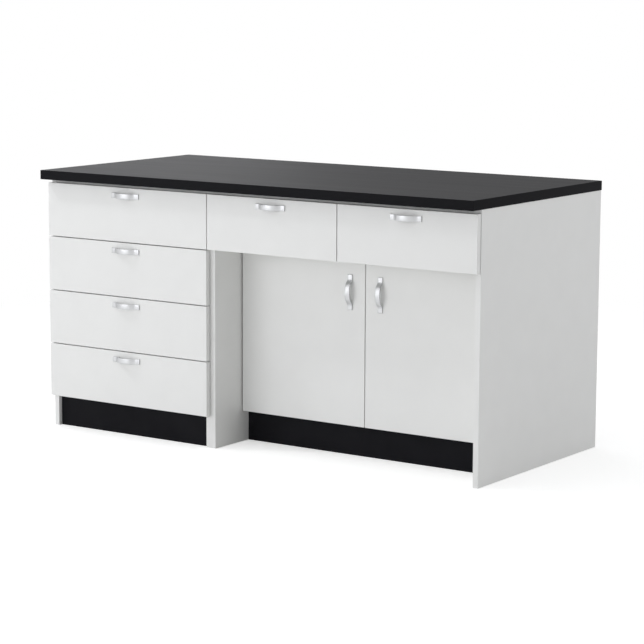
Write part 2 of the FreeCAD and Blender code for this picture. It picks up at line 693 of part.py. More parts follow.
os.makedirs("parts", exist_ok=True)
parts = [item for item in doc.Objects if item.TypeId in ("PartDesign::Body", "Part::Compound")]
for item in parts:
    if item.Shape.isNull() or not item.Shape.isValid() or not item.Shape.Solids:
        raise RuntimeError(f"{item.Label} has no valid solid")
for item in parts:
    item.Shape.exportStep(f"parts/{item.Label}.step")
print(len(parts), "parts")
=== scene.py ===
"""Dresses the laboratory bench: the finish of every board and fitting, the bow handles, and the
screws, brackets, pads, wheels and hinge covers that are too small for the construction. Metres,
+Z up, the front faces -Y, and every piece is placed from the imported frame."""
import json
import math

import bmesh
import bpy
from mathutils import Matrix, Vector


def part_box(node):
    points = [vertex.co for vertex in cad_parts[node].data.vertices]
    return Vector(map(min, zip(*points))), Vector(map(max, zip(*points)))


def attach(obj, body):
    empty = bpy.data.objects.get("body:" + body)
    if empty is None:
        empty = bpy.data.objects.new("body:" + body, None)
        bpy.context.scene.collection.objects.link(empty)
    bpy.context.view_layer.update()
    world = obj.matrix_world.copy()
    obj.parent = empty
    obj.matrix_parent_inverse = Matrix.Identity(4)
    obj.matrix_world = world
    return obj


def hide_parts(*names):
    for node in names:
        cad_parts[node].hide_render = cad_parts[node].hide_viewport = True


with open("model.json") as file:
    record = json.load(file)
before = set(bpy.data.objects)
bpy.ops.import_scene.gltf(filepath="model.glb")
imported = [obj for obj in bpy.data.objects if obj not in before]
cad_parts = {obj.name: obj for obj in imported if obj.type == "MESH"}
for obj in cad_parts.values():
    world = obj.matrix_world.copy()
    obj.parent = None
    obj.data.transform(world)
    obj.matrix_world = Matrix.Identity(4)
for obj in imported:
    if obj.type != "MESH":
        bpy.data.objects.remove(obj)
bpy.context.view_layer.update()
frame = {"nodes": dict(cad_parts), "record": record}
for plain_colour in list(bpy.data.materials):
    bpy.data.materials.remove(plain_colour)

MM = 0.001
LEFT_DRAWERS = [f"left_drawer_{number}" for number in (1, 2, 3, 4)]
DRAWERS = LEFT_DRAWERS + ["middle_drawer", "right_drawer"]
DOORS = ["left_door", "right_door"]

LEFT, RIGHT = Vector((-1, 0, 0)), Vector((1, 0, 0))
AHEAD, BEHIND = Vector((0, -1, 0)), Vector((0, 1, 0))


# ---- camera, floor and light ----

CAMERA_PLACE = (4.143679, -5.980469, 1.509045)
CAMERA_TURN = math.radians(34.5438)         # to the left of straight ahead
CAMERA_DIP = math.radians(8.8483)           # below the horizon
CAMERA_ROLL = math.radians(0.2652)
CAMERA_LENS = 127.84                        # millimetres, as is the sensor's width
CAMERA_SENSOR = 36

BENCH_CENTRE = Vector((0.0, 0.0, 0.45))
DAYLIGHT = (1.06, 0.195)                    # strength of the sky on the left and on the right
COOL_WHITE = "#FBFCFF"                      # colour of all the light
FLOOR_SHADOW = 0.85                         # how much of the bench's shadow is seen on the floor
FLOOR_WHITE = 0.48                          # the rest of the floor's brightness near the bench
FLOOR_FADE = (1.5, 3.2)                     # metres from the bench's middle where it turns white
FLOOR_SIZE = 60
FLOOR_DROP = 0.2 * MM                       # below the feet, so that no two faces share a plane


def studio_camera():
    turn = (Matrix.Rotation(CAMERA_TURN, 4, "Z")
            @ Matrix.Rotation(math.pi / 2 - CAMERA_DIP, 4, "X")
            @ Matrix.Rotation(CAMERA_ROLL, 4, "Z"))
    bpy.ops.object.camera_add(location=CAMERA_PLACE, rotation=turn.to_euler())
    camera = bpy.context.object
    camera.name = "studio_camera"
    camera.data.lens = CAMERA_LENS
    camera.data.sensor_width = CAMERA_SENSOR
    bpy.context.scene.camera = camera


def softbox(name, place, size, power, mirrored=True):
    """A square lamp, so many metres wide and so many watts strong, that faces the middle of the
    bench. Not mirrored, it makes no highlight."""
    bpy.ops.object.light_add(type="AREA", location=place)
    lamp = bpy.context.object
    lamp.name = name
    lamp.data.size = size
    lamp.data.energy = power
    lamp.data.color = linear(COOL_WHITE)[:3]
    lamp.visible_camera = False
    lamp.visible_glossy = mirrored
    lamp.rotation_euler = (BENCH_CENTRE - Vector(place)).to_track_quat("-Z", "Y").to_euler()


# ---- materials ----

NOISE_LOW, NOISE_HIGH = 0.3, 0.7            # nearly all of a noise lies between these


def linear(hex_colour):
    """An sRGB hex colour as the linear colour that a shader takes."""
    channels = [int(hex_colour[start:start + 2], 16) / 255 for start in (1, 3, 5)]
    return tuple(value / 12.92 if value <= 0.04045 else ((value + 0.055) / 1.055) ** 2.4
                 for value in channels) + (1.0,)


def per_metre(millimetres):
    """Repeats in a metre of a pattern whose grain is so wide."""
    return 1 / (millimetres * MM)


def add_node(tree, kind, inputs=None, **settings):
    """Adds a node. Each input is a value, or another node's socket to link to."""
    node = tree.nodes.new(kind)
    for setting, value in settings.items():
        setattr(node, setting, value)
    for name, value in (inputs or {}).items():
        if isinstance(value, bpy.types.NodeSocket):
            tree.links.new(value, node.inputs[name])
        else:
            node.inputs[name].default_value = value
    return node


def new_material(name, **shader_values):
    """A material with a shader on its output. Values are set on the shader's own sockets."""
    material = bpy.data.materials.new(name)
    material.use_nodes = True
    tree = material.node_tree
    tree.nodes.clear()
    shader = add_node(tree, "ShaderNodeBsdfPrincipled",
                      {socket.replace("_", " "): value for socket, value in shader_values.items()})
    add_node(tree, "ShaderNodeOutputMaterial", {"Surface": shader.outputs["BSDF"]})
    return material, tree, shader


def grain(tree, width_mm, detail=2.0, roughness=0.5, stretch=(1, 1, 1)):
    """Noise in the piece's own space, grains so wide, longer along an axis stretched more."""
    place = add_node(tree, "ShaderNodeTexCoord").outputs["Object"]
    scale = tuple(per_metre(width_mm * times) for times in stretch)
    mapped = add_node(tree, "ShaderNodeMapping", {"Vector": place, "Scale": scale})
    return add_node(tree, "ShaderNodeTexNoise",
                    {"Vector": mapped.outputs["Vector"], "Scale": 1.0, "Detail": detail,
                     "Roughness": roughness}).outputs["Fac"]


def blend_colours(tree, mask, dark, light):
    ramp = add_node(tree, "ShaderNodeValToRGB", {"Fac": mask})
    for element, place, colour in zip(ramp.color_ramp.elements, (NOISE_LOW, NOISE_HIGH),
                                      (dark, light)):
        element.position = place
        element.color = linear(colour)
    return ramp.outputs["Color"]


def spread(tree, mask, low, high):
    """The mask's middle range, from low to high."""
    return add_node(tree, "ShaderNodeMapRange",
                    {"Value": mask, "From Min": NOISE_LOW, "From Max": NOISE_HIGH,
                     "To Min": low, "To Max": high}).outputs["Result"]


def relief(tree, height, depth_mm):
    return add_node(tree, "ShaderNodeBump",
                    {"Height": height, "Strength": 1.0,
                     "Distance": depth_mm * MM}).outputs["Normal"]


def melamine(name, dark, light, roughness, shine=0.5, pearl_mm=1.6, pearl_depth_mm=0.004):
    """Melamine-faced chipboard: printed paper in clear resin, pressed against a plate with a fine
    pearl grain, so it is even in colour with a soft satin shine. The pearl is drawn a little
    coarser than its real half millimetre, or it would not show."""
    material, tree, shader = new_material(name, IOR=1.5, Specular_IOR_Level=shine)
    paper = grain(tree, 90, detail=3)
    handled = grain(tree, 35, detail=4, roughness=0.6)
    pearl = grain(tree, pearl_mm, detail=3, roughness=0.6)
    tree.links.new(blend_colours(tree, paper, dark, light), shader.inputs["Base Color"])
    tree.links.new(spread(tree, handled, roughness - 0.03, roughness + 0.04),
                   shader.inputs["Roughness"])
    tree.links.new(relief(tree, pearl, pearl_depth_mm), shader.inputs["Normal"])
    return material


def laminate(name):
    """Black high-pressure laminate with a fine straight grain pressed in along the top: streaks
    a few millimetres wide and some decimetres long, a shade apart and a little rougher."""
    material, tree, shader = new_material(name, IOR=1.5, Specular_IOR_Level=0.077)
    streaks = grain(tree, 5, detail=5, roughness=0.65, stretch=(90, 1, 1))
    broad = grain(tree, 40, detail=2, stretch=(20, 1, 1))
    pores = grain(tree, 1.2, detail=3, stretch=(14, 1, 1))
    both = add_node(tree, "ShaderNodeMix", {0: 0.4, 2: streaks, 3: broad}).outputs[0]
    tree.links.new(blend_colours(tree, both, "#141417", "#202023"), shader.inputs["Base Color"])
    tree.links.new(spread(tree, both, 0.56, 0.64), shader.inputs["Roughness"])
    tree.links.new(relief(tree, pores, 0.02), shader.inputs["Normal"])
    return material


def edging(name):
    """Black ABS edge band, a little over a millimetre thick, matt from its embossing roller and
    buffed along its length after it was trimmed."""
    material, tree, shader = new_material(name, IOR=1.5, Specular_IOR_Level=0.02)
    buffed = grain(tree, 0.8, detail=3, stretch=(25, 25, 1))
    tree.links.new(blend_colours(tree, buffed, "#1B1B1D", "#202022"), shader.inputs["Base Color"])
    tree.links.new(spread(tree, buffed, 0.50, 0.58), shader.inputs["Roughness"])
    tree.links.new(relief(tree, buffed, 0.01), shader.inputs["Normal"])
    return material


def powder_coat(name, dark, light):
    """Epoxy powder baked on steel: glossy, with the slight orange peel of the melted powder."""
    material, tree, shader = new_material(name, IOR=1.5)
    peel = grain(tree, 2.5, detail=2)
    tone = grain(tree, 60)
    tree.links.new(blend_colours(tree, tone, dark, light), shader.inputs["Base Color"])
    tree.links.new(spread(tree, peel, 0.30, 0.38), shader.inputs["Roughness"])
    tree.links.new(relief(tree, peel, 0.02), shader.inputs["Normal"])
    return material


def anodised_aluminium(name, along):
    """Aluminium strap, brushed along its length and then clear anodised: bright satin metal whose
    hairlines, drawn about half a millimetre wide, spread each highlight across the strap."""
    material, tree, shader = new_material(name, Metallic=1.0)
    stretch = tuple(60 if axis == along else 1 for axis in "xyz")
    hairs = grain(tree, 0.5, detail=4, roughness=0.7, stretch=stretch)
    tree.links.new(blend_colours(tree, hairs, "#C5C6C8", "#CDCECF"), shader.inputs["Base Color"])
    tree.links.new(spread(tree, hairs, 0.40, 0.46), shader.inputs["Roughness"])
    tree.links.new(relief(tree, hairs, 0.01), shader.inputs["Normal"])
    return material


def plated_steel(name, dark, light, roughness):
    """Pressed steel with a thin bright plating: mirror-like where the die was smooth, with a
    slightly uneven shine from the stamping."""
    material, tree, shader = new_material(name, Metallic=1.0)
    stamped = grain(tree, 4, detail=4, roughness=0.6)
    tree.links.new(blend_colours(tree, stamped, dark, light), shader.inputs["Base Color"])
    tree.links.new(spread(tree, stamped, roughness - 0.05, roughness + 0.08),
                   shader.inputs["Roughness"])
    tree.links.new(relief(tree, stamped, 0.01), shader.inputs["Normal"])
    return material


def moulded_plastic(name, dark, light, roughness):
    """Injection-moulded polyamide or polyurethane: even colour, fine eroded-mould texture."""
    material, tree, shader = new_material(name, IOR=1.5)
    tone = grain(tree, 3)
    eroded = grain(tree, 0.6, detail=2)
    tree.links.new(blend_colours(tree, tone, dark, light), shader.inputs["Base Color"])
    tree.links.new(spread(tree, tone, roughness - 0.04, roughness + 0.04),
                   shader.inputs["Roughness"])
    tree.links.new(relief(tree, eroded, 0.01), shader.inputs["Normal"])
    return material


def seen_directly(tree):
    """1 for what the camera, a reflection or a clear piece shows, 0 for light on its way."""
    rays = add_node(tree, "ShaderNodeLightPath")
    seen = rays.outputs["Is Camera Ray"]
    for ray in ("Is Glossy Ray", "Is Transmission Ray"):
        seen = add_node(tree, "ShaderNodeMath", {0: seen, 1: rays.outputs[ray]},
                        operation="MAXIMUM").outputs[0]
    return seen


def studio_floor_material():
    """Matt pale floor. Seen directly it is white, with a soft shadow of the bench round it."""
    material = bpy.data.materials.new("studio_floor")
    material.use_nodes = True
    tree = material.node_tree
    tree.nodes.clear()
    seen = seen_directly(tree)
    place = add_node(tree, "ShaderNodeTexCoord").outputs["Object"]
    away = add_node(tree, "ShaderNodeVectorMath", {0: place}, operation="LENGTH").outputs["Value"]
    fade = add_node(tree, "ShaderNodeMapRange",
                    {"Value": away, "From Min": FLOOR_FADE[0], "From Max": FLOOR_FADE[1]},
                    interpolation_type="SMOOTHSTEP").outputs["Result"]
    far = add_node(tree, "ShaderNodeMath", {0: fade, 1: seen}, operation="MULTIPLY").outputs[0]
    pale = linear("#F7F7F5")
    shaded = tuple(FLOOR_SHADOW * channel for channel in pale[:3]) + (1.0,)
    colour = add_node(tree, "ShaderNodeMix", {0: seen, 6: pale, 7: shaded}, data_type="RGBA")
    matt = add_node(tree, "ShaderNodeBsdfDiffuse", {"Color": colour.outputs[2]})
    glow = add_node(tree, "ShaderNodeMath", {0: seen, 1: FLOOR_WHITE}, operation="MULTIPLY")
    lift = add_node(tree, "ShaderNodeEmission",
                    {"Color": (1, 1, 1, 1), "Strength": glow.outputs[0]})
    near = add_node(tree, "ShaderNodeAddShader", {0: matt.outputs[0], 1: lift.outputs[0]})
    white = add_node(tree, "ShaderNodeEmission", {"Color": (1, 1, 1, 1), "Strength": 1.0})
    both = add_node(tree, "ShaderNodeMixShader",
                    {0: far, 1: near.outputs[0], 2: white.outputs[0]})
    add_node(tree, "ShaderNodeOutputMaterial", {"Surface": both.outputs[0]})
    return material


def studio_world():
    """Seen directly it is white. Its light is cool and stronger from the left."""
    world = bpy.context.scene.world or bpy.data.worlds.new("studio_world")
    bpy.context.scene.world = world
    world.use_nodes = True
    tree = world.node_tree
    tree.nodes.clear()
    direction = add_node(tree, "ShaderNodeTexCoord").outputs["Generated"]
    across = add_node(tree, "ShaderNodeSeparateXYZ", {0: direction}).outputs["X"]
    daylight = add_node(tree, "ShaderNodeMapRange",
                        {"Value": across, "From Min": -1.0, "From Max": 1.0,
                         "To Min": DAYLIGHT[0], "To Max": DAYLIGHT[1]})
    light = add_node(tree, "ShaderNodeBackground",
                     {"Color": linear(COOL_WHITE), "Strength": daylight.outputs[0]})
    white = add_node(tree, "ShaderNodeBackground", {"Color": (1, 1, 1, 1), "Strength": 1.0})
    both = add_node(tree, "ShaderNodeMixShader",
                    {0: seen_directly(tree), 1: light.outputs[0], 2: white.outputs[0]})
    add_node(tree, "ShaderNodeOutputWorld", {"Surface": both.outputs[0]})


def studio_floor():
    bpy.ops.mesh.primitive_plane_add(size=FLOOR_SIZE, location=(0, 0, -FLOOR_DROP))
    floor = bpy.context.object
    floor.name = "studio_floor"
    floor.data.materials.append(studio_floor_material())


def studio():
    studio_camera()
    bpy.context.scene.view_settings.view_transform = "Standard"
    studio_world()
    studio_floor()
    softbox("key_softbox", (-3.6, -2.25, 5.0), 0.5, 57, mirrored=False)
    softbox("front_softbox", (0.6, -6.5, 2.2), 3.0, 19, mirrored=False)
    softbox("front_left_softbox", (-1.9, -3.9, 1.0), 2.4, 32)
    softbox("right_softbox", (5.3, 0.6, 2.4), 2.5, 48, mirrored=False)
    softbox("rear_left_softbox", (-4.8, 4.5, 1.8), 2.5, 45)


# ---- making and finishing pieces ----

SMOOTH_BELOW = math.radians(35)             # two faces that meet at less are shaded as one curve
SHARP_ABOVE = math.radians(50)              # an edge sharper than this is rounded over


def deselect_all():
    bpy.ops.object.select_all(action="DESELECT")


def select_only(piece):
    deselect_all()
    piece.select_set(True)
    bpy.context.view_layer.objects.active = piece


def select_faces(piece, wanted):
    """In edit mode: selects the faces whose middle and normal are wanted, and nothing else."""
    bpy.ops.mesh.select_mode(type="FACE")
    bpy.ops.mesh.select_all(action="DESELECT")
    mesh = bmesh.from_edit_mesh(piece.data)
    for face in mesh.faces:
        face.select_set(wanted(face.calc_center_median(), face.normal))
    bmesh.update_edit_mesh(piece.data)


def apply_modifier(piece, kind, **settings):
    select_only(piece)
    modifier = piece.modifiers.new(kind.lower(), kind)
    for setting, value in settings.items():
        setattr(modifier, setting, value)
    bpy.ops.object.modifier_apply(modifier=modifier.name)


def set_place(piece):
    """Moves the piece's place, turn and size into its mesh."""
    select_only(piece)
    bpy.ops.object.transform_apply(location=True, rotation=True, scale=True)


def finish_piece(piece, name, body, material):
    piece.name = name
    piece.data.name = name
    piece.data.materials.clear()
    piece.data.materials.append(material)
    set_place(piece)
    bpy.ops.object.shade_smooth_by_angle(angle=SMOOTH_BELOW)
    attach(piece, body)
    return piece


def copy_to(pattern, place, facing=AHEAD, roll=0.0):
    """A copy of a pattern that was made at the origin facing -Y, moved to its place and turned."""
    select_only(pattern)
    bpy.ops.object.duplicate()
    piece = bpy.context.object
    turn = AHEAD.rotation_difference(facing).to_matrix()
    turn = turn @ Matrix.Rotation(roll, 3, "Y")
    piece.matrix_world = Matrix.Translation(place) @ turn.to_4x4()
    return piece


def join_copies(pattern, places, name, body, material):
    """Copies of a pattern, each with its place, facing and roll, joined into one piece."""
    copies = [copy_to(pattern, *place) for place in places]
    select_only(copies[0])
    for piece in copies[1:]:
        piece.select_set(True)
    bpy.ops.object.join()
    return finish_piece(copies[0], name, body, material)


# ---- bow handles ----

STRAP_WIDTH = 17 * MM
STRAP = 4 * MM
STRAP_EDGE = 0.8 * MM
STRAP_EDGE_ABOVE = math.radians(60)  # sharper than this it is an edge, not a bend
HANDLE_HALF_LENGTH = 55 * MM
HANDLE_FOOT = 10 * MM
HANDLE_SCREW_SPACING = 96 * MM
FOOT_BEND = 20 * MM                 # radii of the strap's middle line
SHOULDER_BEND = 20 * MM
HANDLE_RISER = math.radians(48)     # steepest slope, between the foot and the shoulder
HANDLE_CROWN = math.radians(20.7)   # slope where the shoulder runs into the shallow crown
FOOT_STEPS, SHOULDER_STEPS, CROWN_STEPS = 7, 6, 16


def bow_handle_pattern():
    """The strap's end, drawn out along the foot, spun up the riser, round the shoulder and along
    the crown, down the other side, and drawn out again. It lies along X, its feet at y = 0."""
    foot_end = HANDLE_HALF_LENGTH - HANDLE_FOOT
    foot_centre = Vector((-foot_end, -STRAP / 2 - FOOT_BEND, 0))
    climb = Vector((math.sin(HANDLE_RISER), math.cos(HANDLE_RISER), 0))
    shoulder = foot_centre + (FOOT_BEND + SHOULDER_BEND) * climb
    reach = -shoulder.x / math.sin(HANDLE_CROWN)
    crown_centre = Vector((0, shoulder.y + reach * math.cos(HANDLE_CROWN), 0))
    mirrored = Vector((-1, 1, 1))
    bpy.ops.mesh.primitive_plane_add(size=1, location=(-HANDLE_HALF_LENGTH, -STRAP / 2, 0),
                                     rotation=(0, -math.pi / 2, 0))
    handle = bpy.context.object
    handle.scale = (STRAP_WIDTH, STRAP, 1)
    set_place(handle)
    bpy.ops.object.mode_set(mode="EDIT")
    bpy.ops.mesh.select_all(action="SELECT")
    foot_move = {"value": (HANDLE_FOOT, 0, 0)}
    bpy.ops.mesh.extrude_region_move(TRANSFORM_OT_translate=foot_move)
    over = HANDLE_CROWN - HANDLE_RISER
    for centre, angle, steps in ((foot_centre, HANDLE_RISER, FOOT_STEPS),
                                 (shoulder, over, SHOULDER_STEPS),
                                 (crown_centre, -2 * HANDLE_CROWN, CROWN_STEPS),
                                 (shoulder * mirrored, over, SHOULDER_STEPS),
                                 (foot_centre * mirrored, HANDLE_RISER, FOOT_STEPS)):
        bpy.ops.mesh.spin(steps=steps, angle=angle, center=centre, axis=(0, 0, 1))
    bpy.ops.mesh.extrude_region_move(TRANSFORM_OT_translate=foot_move)
    bpy.ops.mesh.select_all(action="SELECT")
    bpy.ops.mesh.remove_doubles(threshold=0.001 * MM)
    bpy.ops.mesh.normals_make_consistent(inside=False)
    bpy.ops.object.mode_set(mode="OBJECT")
    apply_modifier(handle, "BEVEL", width=STRAP_EDGE, segments=3, limit_method="ANGLE",
                   angle_limit=STRAP_EDGE_ABOVE)
    return handle


def handles(materials):
    pattern = bow_handle_pattern()
    for owner in DRAWERS + DOORS:
        node = f"{owner}_handle"
        low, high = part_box(node)
        middle = (low + high) / 2
        roll, finish = (math.pi / 2, "upright") if owner in DOORS else (0, "level")
        piece = copy_to(pattern, (middle.x, high.y, middle.z), roll=roll)
        finish_piece(piece, f"{owner}_bow_handle", owner, materials[f"{finish}_aluminium"])
        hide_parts(node)
    bpy.data.objects.remove(pattern)


# ---- worktop edging ----

EDGING = 1.5 * MM
EDGING_PROUD = 0.1 * MM          # past the worktop's four sides, and half as much above and below
EDGING_RADIUS = 2.1 * MM


def worktop_edging(materials):
    """The black band glued round the worktop, its edges rounded over."""
    low, high = (Vector(corner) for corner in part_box("worktop"))
    bpy.ops.mesh.primitive_cube_add(size=1, location=(low + high) / 2)
    band = bpy.context.object
    band.scale = high - low + Vector((2, 2, 1)) * EDGING_PROUD
    set_place(band)
    apply_modifier(band, "BEVEL", width=EDGING_RADIUS, segments=5, limit_method="NONE")
    bpy.ops.object.mode_set(mode="EDIT")
    select_faces(band, lambda middle, normal: abs(normal.z) > 0.999)
    bpy.ops.mesh.delete(type="FACE")
    bpy.ops.object.mode_set(mode="OBJECT")
    apply_modifier(band, "SOLIDIFY", thickness=EDGING, offset=-1.0)
    finish_piece(band, "worktop_edging", "carcass", materials["black_edging"])


# ---- screws, brackets, pads and wheels ----

STEEL = 1.5 * MM
RUNNER_SPACE = 13 * MM           # side panel to a drawer's steel wall
RUNNER_MIDDLE = 13.7 * MM        # bottom of a runner to its screws
RUNNER_SCREWS = (42 * MM, 250 * MM, 500 * MM)   # behind the drawer's front
WHEEL_SIDE_GAP = 3.5 * MM        # side panel to a runner wheel
WHEEL_MIDDLE = 4 * MM            # on from there, to the middle of its width
WHEEL_WIDTH = 8.2 * MM
WHEEL_RADIUS = 11.1 * MM
WHEEL_END = 16 * MM              # end of a runner to its wheel's axle
WHEEL_HEIGHT = 12.8 * MM         # bottom of a runner to the axle
FRONT_CLEARANCE = 2 * MM         # between a drawer's front and the carcass
PAD_INSET, PAD_DROP = 7.5 * MM, 14 * MM         # from the side and the top of a front
BRACKET_HEIGHT = 46 * MM         # bottom of a runner to the bracket's middle
BRACKET_SCREW_RISE = 18 * MM     # above and below the bracket's middle
BRACKET_SCREW_ASIDE = 11 * MM    # on the front, from the wall
BRACKET_SCREW_BACK = 20 * MM     # on the wall, from the front
TOUCH = 0.01 * MM


def screw_head_pattern(radius, height):
    """A pan head with a cross recess, its flat side at y = 0."""
    rounding, slot_depth = 0.6 * height, 0.6 * height
    slot, slot_reach = 0.24 * radius, 0.4 * radius
    bpy.ops.mesh.primitive_cylinder_add(vertices=20, radius=radius, depth=height,
                                        location=(0, -height / 2, 0),
                                        rotation=(math.pi / 2, 0, 0))
    head = bpy.context.object
    set_place(head)
    bpy.ops.object.mode_set(mode="EDIT")
    select_faces(head, lambda middle, normal: normal.y < -0.9)
    bpy.ops.mesh.bevel(offset=rounding, segments=3, affect="EDGES")
    bpy.ops.object.mode_set(mode="OBJECT")
    bpy.ops.mesh.primitive_cube_add(size=slot, location=(0, -height, 0))
    cross = bpy.context.object
    cross.scale = (1, 2 * slot_depth / slot, 1)
    set_place(cross)
    bpy.ops.object.mode_set(mode="EDIT")
    select_faces(cross, lambda middle, normal: abs(normal.y) < 0.5)
    bpy.ops.mesh.extrude_faces_move(TRANSFORM_OT_shrink_fatten={"value": slot_reach})
    bpy.ops.object.mode_set(mode="OBJECT")
    apply_modifier(head, "BOOLEAN", object=cross, operation="DIFFERENCE", solver="EXACT")
    bpy.data.objects.remove(cross)
    return head


def pad_pattern():
    """A round clear stick-on pad with a domed face, its flat side at y = 0."""
    radius, height, dome = 4 * MM, 1.7 * MM, 1.2 * MM
    bpy.ops.mesh.primitive_cylinder_add(vertices=28, radius=radius, depth=height,
                                        location=(0, -height / 2, 0),
                                        rotation=(math.pi / 2, 0, 0))
    pad = bpy.context.object
    set_place(pad)
    bpy.ops.object.mode_set(mode="EDIT")
    select_faces(pad, lambda middle, normal: normal.y < -0.9)
    bpy.ops.mesh.bevel(offset=dome, segments=4, affect="EDGES")
    bpy.ops.object.mode_set(mode="OBJECT")
    return pad


def wheel_pattern():
    """A moulded wheel with a crowned tread and a recess round its hub. It turns about X."""
    crown, rim, recess, slope, hub = 0.8 * MM, 1.6 * MM, 1.2 * MM, 2.4 * MM, 1.0 * MM
    bpy.ops.mesh.primitive_cylinder_add(vertices=40, radius=WHEEL_RADIUS, depth=WHEEL_WIDTH,
                                        rotation=(0, math.pi / 2, 0))
    wheel = bpy.context.object
    set_place(wheel)
    bpy.ops.object.mode_set(mode="EDIT")
    select_faces(wheel, lambda middle, normal: abs(normal.x) > 0.9)
    bpy.ops.mesh.bevel(offset=crown, segments=2, affect="EDGES")
    for side in (-1, 1):
        select_faces(wheel, lambda middle, normal: normal.x * side > 0.99)
        for width, outwards in ((rim, -recess), (slope, hub)):
            bpy.ops.mesh.inset(thickness=width)
            bpy.ops.mesh.extrude_region_move(
                TRANSFORM_OT_translate={"value": (outwards * side, 0, 0)})
    bpy.ops.object.mode_set(mode="OBJECT")
    return wheel


def bracket_pattern():
    """The angle that holds a drawer's front to its left wall: a leaf on the front at y = 0, and
    one back along the wall at x = 0."""
    leaf, wing, height, corner, edge_radius = 20 * MM, 30 * MM, 60 * MM, 5 * MM, 0.3 * MM
    bpy.ops.mesh.primitive_cube_add(size=1, location=(leaf / 2, STEEL / 2, 0))
    angle = bpy.context.object
    angle.scale = (leaf, STEEL, height)
    set_place(angle)
    bpy.ops.object.mode_set(mode="EDIT")
    bpy.ops.mesh.select_all(action="SELECT")
    bpy.ops.mesh.bisect(plane_co=(STEEL, 0, 0), plane_no=(1, 0, 0))
    select_faces(angle, lambda middle, normal: normal.y > 0.9 and middle.x < STEEL)
    bpy.ops.mesh.extrude_region_move(
        TRANSFORM_OT_translate={"value": (0, wing - STEEL, 0)})
    bpy.ops.mesh.select_mode(type="EDGE")
    bpy.ops.mesh.select_all(action="DESELECT")
    mesh = bmesh.from_edit_mesh(angle.data)
    for edge in mesh.edges:
        middle = (edge.verts[0].co + edge.verts[1].co) / 2
        along = (edge.verts[1].co - edge.verts[0].co).normalized()
        end = abs(abs(middle.z) - height / 2) < TOUCH
        edge.select_set(end and (abs(along.y) > 0.9 and middle.x > leaf - TOUCH
                                 or abs(along.x) > 0.9 and middle.y > wing - TOUCH))
    bmesh.update_edit_mesh(angle.data)
    bpy.ops.mesh.bevel(offset=corner, segments=5, affect="EDGES")
    bpy.ops.object.mode_set(mode="OBJECT")
    apply_modifier(angle, "BEVEL", width=edge_radius, segments=2, limit_method="ANGLE",
                   angle_limit=SHARP_ABOVE)
    return angle


def drawer_sides(drawer):
    """The panel faces left and right of a drawer: the place across, the sign of the way inwards,
    and the way the face looks."""
    low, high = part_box(f"{drawer}_side_walls")
    return ((low.x - WHEEL_SIDE_GAP, 1, RIGHT), (high.x + WHEEL_SIDE_GAP, -1, LEFT))


def drawer_fittings(materials):
    """The handle's screws, the brackets and pads behind each front, and the runners' wheels and
    screws."""
    screw = screw_head_pattern(radius=3.5 * MM, height=1.6 * MM)
    runner_screw = screw_head_pattern(radius=3.6 * MM, height=1.1 * MM)
    pad, wheel, bracket = pad_pattern(), wheel_pattern(), bracket_pattern()
    cabinet_wheels, runner_screws = [], []
    for drawer in DRAWERS:
        front_low, front_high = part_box(f"{drawer}_front")
        wall_low, wall_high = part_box(f"{drawer}_side_walls")
        handle_low, handle_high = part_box(f"{drawer}_handle")
        back, base = front_high.y, wall_low.z
        handle = (handle_low + handle_high) / 2
        screws = [((handle.x + side * HANDLE_SCREW_SPACING / 2, back, handle.z), BEHIND)
                  for side in (-1, 1)]
        pads = [((x, back, front_high.z - PAD_DROP), BEHIND)
                for x in (front_low.x + PAD_INSET, front_high.x - PAD_INSET)]
        wheels, brackets = [], []
        for face, inward, facing in drawer_sides(drawer):
            wheel_x = face + inward * (WHEEL_SIDE_GAP + WHEEL_MIDDLE)
            axle = base + WHEEL_HEIGHT
            wheels.append(((wheel_x, wall_high.y - WHEEL_END, axle),))
            cabinet_wheels.append(((wheel_x, back + FRONT_CLEARANCE + WHEEL_END, axle),))
            for distance in RUNNER_SCREWS:
                runner_screws.append(((face + inward * STEEL, back + distance,
                                       base + RUNNER_MIDDLE), facing))
            wall = face + inward * (RUNNER_SPACE + STEEL)
            middle = base + BRACKET_HEIGHT
            brackets.append(((wall, back, middle), AHEAD, 0 if inward > 0 else math.pi))
            for height in (middle - BRACKET_SCREW_RISE, middle + BRACKET_SCREW_RISE):
                screws.append(((wall + inward * BRACKET_SCREW_ASIDE, back + STEEL, height),
                               BEHIND))
                screws.append(((wall + inward * STEEL, back + BRACKET_SCREW_BACK, height),
                               facing))
        join_copies(screw, screws, f"{drawer}_screws", drawer, materials["zinc"])
        join_copies(pad, pads, f"{drawer}_pads", drawer, materials["clear_pad"])
        join_copies(wheel, wheels, f"{drawer}_wheels", drawer, materials["white_nylon"])
        join_copies(bracket, brackets, f"{drawer}_angles", drawer, materials["powder_coat"])
    join_copies(wheel, cabinet_wheels, "runner_wheels", "carcass", materials["white_nylon"])
    join_copies(runner_screw, runner_screws, "runner_screws", "carcass", materials["zinc"])
    for pattern in (screw, runner_screw, pad, wheel, bracket):
        bpy.data.objects.remove(pattern)


# ---- hinges and the screws of the doors ----

DOOR_GAP = 5 * MM                # door to side panel
HINGE_HEIGHTS = (191 * MM, 543 * MM)
HINGE_PIN_Y = -191 * MM
PIN_FROM_PANEL = 15 * MM
HINGE_PLATE = 2 * MM
PLATE_SCREWS_BACK = 36.5 * MM    # behind the pin
PLATE_SCREW_RISE = 16 * MM       # above and below the hinge's middle
COVER_BACK = 15 * MM             # behind the pin, where the arm's cover starts
COVER_SCREWS = (12 * MM, 32 * MM)               # along the cover
COVER_FLOOR = 6.4 * MM           # plate to the hollow that the adjusting screws sit in
CUP_FROM_PIN = 12.5 * MM
CUP_EAR = 1.2 * MM
CUP_SCREW_RISE = 21.6 * MM       # above and below the hinge's middle


